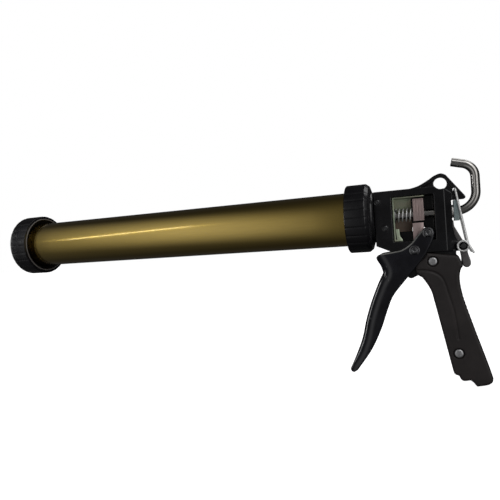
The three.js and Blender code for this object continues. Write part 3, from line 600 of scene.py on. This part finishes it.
CAP_SEGMENTS = 288
front, rear = -417.6, -393.1
front_cap_profile = rounded(
    [
        (21.0, front),
        (FRONT_CAP_R, front),
        (FRONT_CAP_R, rear - 0.7),
        (33.8, rear - 0.7),
        (33.6, rear),
        (32.4, rear),
        (32.2, rear - 1.2),
        (27.6, rear - 4.6),
        (27.6, front + 3.0),
        (21.0, front + 3.0),
    ],
    [0.5, 2.4, 0.9, 0.2, 0.5, 0.5, 0.3, 0.3, 0.3, 0.5],
)
front_ribs = ribs(FRONT_CAP_R, 0.5, 1.6)
cap_ring = lathe("front_cap_ring", "front_cap", front_cap_profile, CAP_SEGMENTS, front_ribs, 40)
# Marks the front cap's rear lip for a paler band.
lip = [32.3 < r < 33.75 and x > rear - 0.75 for r, x in front_cap_profile]
mark(cap_ring, "pale_lip", np.repeat(lip, CAP_SEGMENTS))

rear_cap_profile = rounded(
    [
        (27.6, 0.0),
        (REAR_CAP_R, 0.0),
        (REAR_CAP_R, 19.4),
        (31.6, 22.6),
        (28.6, 23.6),
        (26.4, 24.2),
        (26.0, 19.8),
        (27.6, 19.8),
    ],
    [0.3, 1.5, 2.2, 1.2, 0.6, 0.3, 0.2, 0.2],
)
lathe("rear_cap_ring", "rear_cap", rear_cap_profile, CAP_SEGMENTS, ribs(REAR_CAP_R, 0.5, 1.6), 40)


def plain_ring(name, cad_node, inner, outer, x0, x1, edge=0.2):
    """A ring or disc of square section with broken edges."""
    profile = rounded([(inner, x0), (outer, x0), (outer, x1), (inner, x1)], edge, 3)
    return lathe(name, cad_node, profile, 72)


plain_ring("front_seal", "front_gasket", 23.5, 27.2, -411.0, -409.3, 0.4)
plain_ring("rear_seal", "rear_gasket", 25.3, 27.2, 14.8, 16.0, 0.3)
plain_ring("rod_bush_front", "front_rod_bush", 4.2, 6.95, 8.0, 40.0)
plain_ring("rod_bush_rear", "rear_rod_bush", 4.2, 6.4, 81.0, 96.3)
plain_ring("brake_washer", "brake_wave_washer", 4.3, 6.2, 96.7, 97.8, 0.15)
plain_ring("spring_seat_washer", "spring_washer", 4.2, 6.9, 44.9, 45.7, 0.15)
plain_ring("front_disc", "piston_front_disc", 3.1, 24.6, -406.0, -403.0, 0.5)
plain_ring("rear_disc", "piston_rear_disc", 4.2, 21.6, -397.7, -395.0, 0.5)
plain_ring("collar", "piston_collar", 4.1, 7.0, -394.7, -388.7, 0.5)
cup_profile = rounded(
    [
        (4.2, -402.7),
        (22.5, -402.7),
        (25.1, -400.5),
        (25.1, -391.0),
        (23.4, -391.0),
        (22.4, -398.0),
        (4.2, -398.0),
    ],
    [0.2, 1.0, 1.0, 0.5, 0.4, 1.4, 0.2],
)
lathe("cup_seal", "piston_cup", cup_profile, 96)


def nozzle():
    """A round base that flattens to a slot, made as one closed skin."""
    segments = 96
    angles = np.arange(segments) * TAU / segments
    base, tip, wall = -411.3, -431.0, 2.2
    base_r, slot_half_height, slot_half_width = 20.6, 5.2, 16
    flange_inner, flange_outer, flange = 18.4, 25.0, 3
    lip_edge = 0.5

    def section(x, radius, half_height, half_width):
        share = (x - base) / (tip - base)
        width = radius + (half_width - radius) * share
        height = radius + (half_height - radius) * share
        power = 2 + 1.6 * share
        c, s = np.abs(np.cos(angles)), np.abs(np.sin(angles))
        reach = ((c / width) ** power + (s / height) ** power) ** (-1 / power)
        return reach * np.cos(angles), reach * np.sin(angles), np.full(segments, x)

    rings = []
    for x in np.linspace(tip, base, 9):
        rings.append(section(x, base_r - wall, slot_half_height - wall, slot_half_width - wall))
    corners = [(flange_inner, base), (flange_outer, base), (flange_outer, base - flange)]
    corners.append((base_r + 0.2, base - flange))
    for r, x in rounded(corners, [0, 0.6, 0.6, 0.5], 3)[1:]:
        rings.append((r * np.cos(angles), r * np.sin(angles), np.full(segments, x)))
    for x in np.linspace(base - flange - 0.6, tip + 0.6, 9):
        rings.append(section(x, base_r, slot_half_height, slot_half_width))
    rings.append(section(tip, base_r, slot_half_height - lip_edge, slot_half_width - lip_edge))
    vertices = [np.column_stack([x, y, z]) for y, z, x in rings]
    obj = object_from("nozzle_strip", np.vstack(vertices), grid_faces(len(rings), segments))
    return finish_piece(outward(obj), "strip_nozzle", 40)


nozzle()
casting("barrel_seat", "seat_casting", 0.5, 5, 0.3)

# ---------------------------------------------------------------- push rod
ROD_R = 4.0


def arc_points(cx, cz, radius, start, end, steps):
    """Points of an arc in the gun's middle plane."""
    return [
        (cx + radius * math.cos(a), 0.0, cz + radius * math.sin(a)) for a in np.linspace(start, end, steps)
    ]


def rod_path():
    """The rod's centre line: straight back, up through a bend and over into the hook."""
    bend_x, bend_r = 100.8, 17.5
    upright = bend_x + bend_r
    top_z, top_r, turn = 31.0, 13.0, math.radians(75)
    path = [(x, 0.0, 0.0) for x in (-402.7, -401.5, *np.linspace(-380, 96, 18))]
    path += arc_points(bend_x, bend_r, bend_r, -math.pi / 2, 0, 22)
    path += arc_points(upright - top_r, top_z, top_r, 0, turn, 18)
    last = np.array(path[-1])
    direction = np.array([-math.sin(turn), 0.0, math.cos(turn)])
    path += [tuple(last + direction * d) for d in (3.5, 7.0, 9.6, 10.5)]
    return path


rod = tube("rod_with_hook", rod_path(), ROD_R, 32, 0.5)
stud = tube("stud", [(x, 0, 0) for x in (-411.0, -408.0, -405.0, -402.2)], 2.9, 32, 0.4)
carve(rod, stud, operation="UNION")
finish_piece(rod, "push_rod", 40)


def hexagon_nut(name, cad_node, across, thickness, bore, centre, along):
    """A chamfered hexagon nut: a hexagonal prism met by a chamfered disc, then bored."""
    sides, chamfer, bore_edge = 60, 0.45, 0.25
    angles = np.arange(sides) * TAU / sides
    half = thickness / 2
    from_flat = (angles - TAU / 12) % (TAU / 6) - TAU / 12
    hexagon = across / math.sqrt(3) * math.cos(TAU / 12) / np.cos(from_flat)
    disc = np.minimum(hexagon, across / 2 * 0.985)
    rings = [(disc, -half), (hexagon, -half + chamfer), (hexagon, half - chamfer), (disc, half)]
    rings += [(bore + bore_edge, half), (bore, half - bore_edge)]
    rings += [(bore, -half + bore_edge), (bore + bore_edge, -half)]
    vertices = []
    for radius, h in rings:
        a, b, level = radius * np.cos(angles), radius * np.sin(angles), np.full(sides, h)
        ring = np.column_stack([level, a, b] if along == "x" else [a, level, b])
        vertices.append(ring + np.array(centre))
    obj = object_from(name, np.vstack(vertices), grid_faces(len(rings), sides))
    return finish_piece(outward(obj), cad_node, 35)


hexagon_nut("piston_end_nut", "piston_nut", 10.0, 4.0, 3.0, (-408.4, 0, 0), "x")

# ---------------------------------------------------------------- castings and mouldings
casting("frame", "frame_casting", 0.42, 7, 0.4)

PIVOT, DRIVE, RELEASE = (61.5, -34.4), (74.3, -18.8), (104.0, -33.0)
GRIP_SCREWS = {"upper": (77.0, -45.9), "lower": (94.7, -132.8)}
GRIP_Y = 12.1

# The finger lever's leading edge, from its tip up, and the upper edge of its near arm.
LEVER_FRONT = spline(
    [(-7.4, -152.4), (-6, -147.6), (-1.1, -138.2), (6.6, -119.6), (11.5, -101.2), (17.8, -83.1),
     (25.7, -65.1), (31.2, -54.6), (29.4, -48), (25.7, -41)],
    2.0,
)
ARM_EDGE = spline([(31, -35.9), (41.5, -34.6), (50, -33), (58, -28), (65.2, -19.9), (69.2, -15.8)], 1.0)


def distance_to_line(points, line):
    """Each 2-D point's distance to a polyline."""
    nearest = np.full(len(points), np.inf)
    for start, end in zip(line[:-1], line[1:]):
        along = end - start
        share = np.clip((points - start) @ along / (along @ along), 0, 1)
        gap = np.linalg.norm(points - start - share[:, None] * along, axis=1)
        nearest = np.minimum(nearest, gap)
    return nearest


def round_front(obj):
    """Draws the finger lever's sides in towards its leading edge, as an ellipse's quarter."""
    reach = 10.0
    points = placed_points(obj)
    gaps = distance_to_line(points[:, [0, 2]], LEVER_FRONT)
    heights, halves = zip((-160, 7.2), (-148, 8.6), (-120, 10.2), (-90, 11.4), (-72, 13.6), (-60, 15.4))
    share = np.clip(1 - gaps / reach, 0, 0.97)
    depth = np.interp(points[:, 2], (-152, -132), (3.0, 6.5))
    limit = np.interp(points[:, 2], heights, halves) - depth * (1 - np.sqrt(1 - share**2))
    points[:, 1] = np.clip(points[:, 1], -limit, limit)
    move_points(obj, points)
    apply_modifier(obj, "REMESH", mode="VOXEL", voxel_size=0.45 * MM)
    apply_modifier(obj, "SMOOTH", factor=0.5, iterations=7)


lever = casting("trigger", "trigger_lever", 0.45, 4, 0.4, extra=round_front)
# Marks a painted highlight along the top edge of the finger lever's near arm, on its outer face.
lever_points = placed_points(lever)
edge_gaps = distance_to_line(lever_points[:, [0, 2]], ARM_EDGE)
outer = np.clip((-lever_points[:, 1] - 13.9) / 0.9, 0, 1)
mark(lever, "painted_highlight_edge", outer * np.clip((1.5 - edge_gaps) / 0.9, 0, 1))

GRIP_GROOVE = [(60.5, -54), (68, -54), (77, -56), (83, -60), (86, -66), (88.5, -76), (92, -90), (94, -104),
               (95.5, -120)]
GRIP_BACK = [(99.4, -64), (101.4, -79.4), (109, -107.8), (118.8, -141.7)]


def grip_cutters(side):
    """The engraved line, the dished screw recesses and the notches down the back of one shell."""
    face = side * GRIP_Y
    line = spline([(x, face + side * 0.7, z) for x, z in GRIP_GROOVE], 1.5)
    cutters = [tube("line_cutter", line, 1.6, 16, 0.5)]
    for index, (x, z) in enumerate(spline(GRIP_BACK, 4.0)[4:15]):
        notch = [(x + 0.5, y, z) for y in (-15, 0, 15)]
        cutters.append(tube(f"notch_cutter_{index}", notch, 0.95, 14, 0.2))
    for x, z in GRIP_SCREWS.values():
        dish = [(x, face - side * d, z) for d in (2.0, 0.6, -1.0)]
        cutters.append(tube("dish_cutter", dish, 5.2, 40, 0.1))
    return cutters


def close_seam(obj):
    """Brings a shell's joining face up to the middle plane, so no light passes between the two."""
    closed_gap, face, reach = 0.01, 0.35, 1.0
    points = placed_points(obj)
    off = np.abs(points[:, 1])
    moved = np.interp(off, (0, face, reach), (closed_gap, closed_gap, reach))
    points[:, 1] = np.where(off < reach, np.sign(points[:, 1]) * moved, points[:, 1])
    move_points(obj, points)


casting("grip_left_shell", "grip_shell_left", 0.4, 5, 0.35, grip_cutters(-1), close_seam)
casting("grip_right_shell", "grip_shell_right", 0.4, 5, 0.35, grip_cutters(1), close_seam)
casting("release_lever", "thumb_lever", 0.3, 5, 0.4)


# ---------------------------------------------------------------- small metal pieces
def drawing_box(cad_node):
    """A node's box in the drawing's frame, in millimetres."""
    low, high = (np.array(c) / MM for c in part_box(cad_node))
    shift = np.array([DRAW_X, 0, AXIS_Z]) / MM
    return low - shift, high - shift


def bevelled(obj, width, segments=3, degrees=30):
    """Breaks the edges sharper than the given angle."""
    return apply_modifier(
        obj, "BEVEL", width=width * MM, segments=segments, limit_method="ANGLE",
        angle_limit=math.radians(degrees), harden_normals=False,
    )


def block(name, cad_node, bevel, hole=None, grow=0.0):
    """A machined block in its node's box, with an optional bore for the rod."""
    (x0, y0, z0), (x1, y1, z1) = drawing_box(cad_node)
    x0, x1 = x0 - grow, x1 + grow
    obj = prism(name, [(x0, z0), (x1, z0), (x1, z1), (x0, z1)], y0, y1)
    if hole is not None:
        bore = [(x, 0, 0) for x in (x0 - 2, (x0 + x1) / 2, x1 + 2)]
        carve(obj, tube("bore_cutter", bore, hole, 48, 0.1))
    return finish_piece(bevelled(obj, bevel), cad_node, 35)


def sheet_metal(name, cad_node, bevel):
    """A node's own solid with its flat faces made whole and its edges broken."""
    obj = copy_of(cad_node, name)
    apply_modifier(obj, "DECIMATE", decimate_type="DISSOLVE", angle_limit=math.radians(1))
    return finish_piece(bevelled(obj, bevel, 2), cad_node, 35)


def spindle(name, cad_node, profile, centre, segments=48, cutters=()):
    """An open [radius, y] profile turned about an axis along Y, closed by a flat at each end."""
    angles = np.arange(segments) * TAU / segments
    rings = []
    for r, y in profile:
        x, z = centre[0] + r * np.cos(angles), centre[1] + r * np.sin(angles)
        rings.append(np.column_stack([x, np.full(segments, y), z]))
    count = len(rings)
    faces = grid_faces(count, segments, close_rows=False)
    faces += [tuple(reversed(range(segments))), tuple((count - 1) * segments + j for j in range(segments))]
    obj = carve(outward(object_from(name, np.vstack(rings), faces)), *cutters)
    return finish_piece(obj, cad_node, 35)


bracket = sheet_metal("bracket_sheet", "spring_bracket", 0.25)
# Painted shade on the far wall: it turns dark brown towards the bottom, where the spring and plates shade it.
low, high = drawing_box("spring_bracket")
spots = placed_points(bracket)
far_wall = spots[:, 1] > 6
wall_height = high[2] - low[2] - 9
mark(bracket, "brown_painted_shade", far_wall * (high[2] - spots[:, 2]) / wall_height)
for number in range(1, 5):
    block(f"gripping_plate_{number}", f"grip_plate_{number}", 0.18, 4.2, 0.1)
sheet_metal("push_block", "thrust_block", 0.35)
block("brake_block", "brake_plate", 0.4, 4.6)

CLIP_Y = 15.7


def clip_pin(name, cad_node, centre):
    """A headed pin with a groove for its clip. Its shank clears the rounded holes of the castings."""
    y = CLIP_Y
    shank = 2.85
    profile = [(1.1, -y - 1.55), (1.5, -y - 1.85), (2.5, -y - 1.9), (2.85, -y - 1.75), (3.0, -y - 1.45),
               (3.0, -y - 0.95), (2.2, -y - 0.9), (2.2, -y + 0.05), (shank, -y + 0.1), (shank, y - 0.05),
               (4.7, y), (5.0, y + 0.3), (5.0, y + 1.1), (4.6, y + 1.5), (3.6, y + 1.6)]
    return spindle(name, cad_node, profile, centre)


def e_clip(name, cad_node, centre):
    """A pressed E-clip: a C-shaped band with three prongs that reach into the pin's groove."""
    mouth = math.radians(36)
    outer_r, inner_r, prong_r = 4.7, 3.45, 2.3
    angles = np.linspace(-math.pi / 2 + mouth, 1.5 * math.pi - mouth, 61)
    outline = [(centre[0] + outer_r * math.cos(a), centre[1] + outer_r * math.sin(a)) for a in angles]
    prongs = [angles[0] + 0.16, math.pi / 2, angles[-1] - 0.16]
    for a in np.linspace(angles[-1], angles[0], 121):
        share = max(0.0, 1 - min(abs(a - p) for p in prongs) / 0.27)
        r = inner_r + (prong_r - inner_r) * min(1.0, share * 2.2)
        outline.append((centre[0] + r * math.cos(a), centre[1] + r * math.sin(a)))
    obj = prism(name, outline, -CLIP_Y - 0.8, -CLIP_Y)
    return finish_piece(bevelled(obj, 0.15, 2, 50), cad_node, 40)


for name, centre in (("pivot", PIVOT), ("drive", DRIVE)):
    clip_pin(f"{name}_pin_turned", f"{name}_pin", centre)
    e_clip(f"{name}_clip_pressed", f"{name}_clip", centre)


def slot_cutter(centre, y0, y1, length=6.2, width=1.0, turn=0.0):
    """A screwdriver slot through a head's middle."""
    along = np.array([math.cos(turn), math.sin(turn)]) * length / 2
    across = np.array([-math.sin(turn), math.cos(turn)]) * width / 2
    mid = np.array(centre)
    corners = [mid - along - across, mid + along - across, mid + along + across, mid - along + across]
    return prism("slot_cutter", corners, min(y0, y1), max(y0, y1))


UNDER_HEAD = -9.9
for (which, centre), turn in zip(GRIP_SCREWS.items(), (0.5, 1.1)):
    crown = UNDER_HEAD - 2.0
    profile = [(2.2, crown), (3.2, crown + 0.12), (3.8, crown + 0.5), (4.0, crown + 0.9),
               (4.0, UNDER_HEAD - 0.1), (3.9, UNDER_HEAD), (2.0, UNDER_HEAD), (2.0, 11.0), (1.7, 11.3)]
    cutters = [slot_cutter(centre, crown - 1, crown + 0.8, turn=turn)]
    spindle(f"grip_screw_{which}_turned", f"grip_screw_{which}", profile, centre, 48, cutters)
    low, high = drawing_box(f"grip_nut_{which}")
    hexagon_nut(f"grip_nut_{which}_hexagon", f"grip_nut_{which}", 7.0, 2.2, 2.05, (low + high) / 2, "y")

for number in range(1, 5):
    low, high = drawing_box(f"neck_screw_{number}")
    side = 1 if low[1] > 0 else -1
    centre = ((low[0] + high[0]) / 2, (low[2] + high[2]) / 2)
    profile = [(1.0, side * 11.45), (1.35, side * 11.78), (1.9, side * 11.8), (2.2, side * 11.6),
               (2.2, side * 11.0), (1.6, side * 11.0), (1.6, side * 5.2), (1.4, side * 5.0)]
    spindle(f"neck_screw_{number}_turned", f"neck_screw_{number}", profile, centre, 32)

spindle(
    "release_pin_turned",
    "release_pin",
    [(2.0, -12.9), (2.5, -12.4), (2.5, 12.8), (3.5, 12.9), (3.7, 13.1), (3.7, 13.9), (3.4, 14.1)],
    RELEASE,
)


# ---------------------------------------------------------------- springs
def return_spring():
    """A coil round the rod, made at its rest length. The plates press the real spring shorter as the trigger
    is pulled; this coil does not change.
    """
    radius, turns, x0, x1 = 6.2, 4.25, 46.4, 61.4
    path = []
    for t in np.linspace(0, 1, 150):
        a = TAU * turns * t
        path.append((x0 + (x1 - x0) * t, radius * math.sin(a), radius * math.cos(a)))
    obj = tube("return_spring_coil", path, 0.55, 14, 0.1)
    finish_piece(obj, "return_spring", 60)
    anchor = place([(45.8, 0, 0)])[0]
    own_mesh(obj)


return_spring()


def torsion_spring():
    """One wire: tail, coil and arm on one side, a bar through the ear, and the same on the other side."""
    coil_r, pitch, last, arm_y, tail = 4.6, 2.1, -12.09, 7.6, 10.0
    top = np.array([100.2, -arm_y, 20.2])

    def on_coil(a):
        return np.array([RELEASE[0] + coil_r * math.cos(a), -arm_y + pitch * a / TAU,
                         RELEASE[1] + coil_r * math.sin(a)])

    start = on_coil(last)
    away = np.array([math.sin(last), 0, -math.cos(last)])
    half = [start + away * tail, start + away * tail / 2]
    half += [on_coil(a) for a in np.linspace(last, 0, 70)]
    foot = on_coil(0)
    half += [foot + (top - foot) * share for share in (0.06, 0.3, 0.6, 0.93, 0.99)]
    half.append(top + (0, 1.6, 0))
    mirrored = [p * (1, -1, 1) for p in reversed(half)]
    path = spline([*half, np.array([top[0], 0, top[2]]), *mirrored], 0.9)
    finish_piece(tube("torsion_spring_wire", path, 0.95, 16, 0.2), "release_spring", 60)


torsion_spring()


# ---------------------------------------------------------------- camera, floor and light
def pose_matrix(x_axis, y_axis, z_axis, where):
    """A camera's or light's placement from its own three axes."""
    rows = np.column_stack([x_axis, y_axis, z_axis, where])
    return Matrix([*rows.tolist(), (0, 0, 0, 1)])


def add_camera():
    """The photo's viewing angle: 15 mm below the barrel's axis, turned towards the front cap, and tilted."""
    camera = bpy.data.cameras.new("camera")
    camera.lens = 33.84
    obj = bpy.data.objects.new("camera", camera)
    bpy.context.scene.collection.objects.link(obj)
    yaw, pitch, roll = (math.radians(a) for a in (20.55, -1.03, -4.06))
    ahead = np.array([-math.sin(yaw) * math.cos(pitch), math.cos(yaw) * math.cos(pitch), math.sin(pitch)])
    level = np.array([math.cos(yaw), math.sin(yaw), 0.0])
    over = np.cross(level, ahead)
    right = math.cos(roll) * level + math.sin(roll) * over
    up = -math.sin(roll) * level + math.cos(roll) * over
    where = place([(72.1, -484.6, -15.0)])[0]
    obj.matrix_world = pose_matrix(right, up, -ahead, where)
    bpy.context.scene.camera = obj


def camera_ray_mix(tree, other, seen, target):
    """Shows one shader to the camera and another to reflections and bounces."""
    path = node(tree, "LightPath")
    mix = node(tree, "MixShader")
    tree.links.new(path.outputs["Is Camera Ray"], mix.inputs[0])
    tree.links.new(other, mix.inputs[1])
    tree.links.new(seen, mix.inputs[2])
    tree.links.new(mix.outputs[0], target)


def lobe(tree, angle, centre, flat, fade):
    """One near an angle, falling smoothly to nothing over the fade on either side."""
    away = maths(tree, "ABSOLUTE", maths(tree, "SUBTRACT", angle, centre))
    fall = node(tree, "MapRange", {"From Min": flat, "From Max": flat + fade, "To Min": 1, "To Max": 0},
                interpolation_type="SMOOTHSTEP")
    tree.links.new(away, fall.inputs["Value"])
    return fall.outputs["Result"]


def lobe_pair(tree, across, around, across_range, around_range, strength):
    """A soft bright area of the room: near one angle each way."""
    both = maths(tree, "MULTIPLY", lobe(tree, across, *across_range), lobe(tree, around, *around_range))
    return maths(tree, "MULTIPLY", both, strength)


def add_world():
    """White to the camera. The gun is lit by another room: two bright areas and a faint change front to back.

    The two areas are placed for what the barrel mirrors in the photo, so this is not an even light.
    """
    world = bpy.data.worlds.new("studio")
    bpy.context.scene.world = world
    world.use_nodes = True
    tree = world.node_tree
    seen = tree.nodes["Background"]
    seen.inputs["Color"].default_value = (1, 1, 1, 1)
    direction = node(tree, "TexCoord")
    split = node(tree, "SeparateXYZ")
    tree.links.new(direction.outputs["Generated"], split.inputs[0])
    x, y, z = split.outputs
    across = maths(tree, "ARCSINE", x)
    around = maths(tree, "ARCTAN2", z, maths(tree, "MULTIPLY", y, -1))
    slanted = maths(tree, "ADD", around, maths(tree, "MULTIPLY", across, 0.9))
    window = lobe_pair(tree, across, slanted, (-0.5, 0.0, 0.43), (-0.24, 0.05, 1.45), 0.68)
    right = lobe_pair(tree, across, around, (0.68, 0.1, 0.35), (0.5, 0.3, 0.9), 1.5)
    front = remap(tree, y, 0.03, 0.11, 0.2, -0.9)
    room = node(tree, "Background")
    total = maths(tree, "ADD", maths(tree, "ADD", window, right), front)
    tree.links.new(total, room.inputs["Color"])
    camera_ray_mix(tree, room.outputs[0], seen.outputs[0], tree.nodes["World Output"].inputs["Surface"])


def add_floor():
    """Glowing white to the camera, so no shadow shows on it, and clear to every other ray.

    It gives the gun no bounced light and no reflection, which keeps the barrel's underside dark.
    """
    size = 4000.0
    vertices = [(-size, -size, 0), (size, -size, 0), (size, size, 0), (-size, size, 0)]
    obj = object_from("floor", np.array(vertices) - (0, 0, AXIS_Z / MM), [(0, 1, 2, 3)])
    mat = bpy.data.materials.new("floor_paper")
    mat.use_nodes = True
    tree = mat.node_tree
    tree.nodes.remove(tree.nodes["Principled BSDF"])
    clear = node(tree, "BsdfTransparent")
    white = node(tree, "BsdfDiffuse", {"Color": (0.9, 0.9, 0.9, 1)})
    glow = node(tree, "Emission", {"Color": (1, 1, 1, 1), "Strength": 1.0})
    both = node(tree, "AddShader")
    tree.links.new(white.outputs[0], both.inputs[0])
    tree.links.new(glow.outputs[0], both.inputs[1])
    camera_ray_mix(tree, clear.outputs[0], both.outputs[0], tree.nodes["Material Output"].inputs["Surface"])
    obj.data.materials.append(mat)


def add_area(name, at, towards, energy, size, height=None, long_axis=None):
    """A soft rectangular light at one point of the drawing, facing another."""
    light = bpy.data.lights.new(name, "AREA")
    light.energy = energy
    light.shape = "RECTANGLE"
    light.size, light.size_y = size, height or size
    obj = bpy.data.objects.new(name, light)
    bpy.context.scene.collection.objects.link(obj)
    here, there = place([at])[0], place([towards])[0]
    back = (here - there) / np.linalg.norm(here - there)
    side = np.array(long_axis if long_axis else (1.0, 0.0, 0.0))
    side = side - back * (side @ back)
    side /= np.linalg.norm(side)
    up = np.cross(back, side)
    obj.matrix_world = pose_matrix(side, up, back, here)


add_camera()
add_world()
add_floor()
add_area("strip_light", (-845, -830, 338), (-300, 0, 0), 0.27, 0.47, 0.03, (1080, 0, 669))
add_area("left_light", (-865, -130, 10), (15, 0, -100), 0.95, 0.12, 0.35, (0, 1, 0))
add_area("key_light", (500, -700, 900), (50, 0, 0), 2.2, 0.7)
add_area("rear_light", (500, 500, 900), (50, 0, 0), 2, 0.6)

view = bpy.context.scene.view_settings
view.view_transform = "Standard"
view.look = "None"
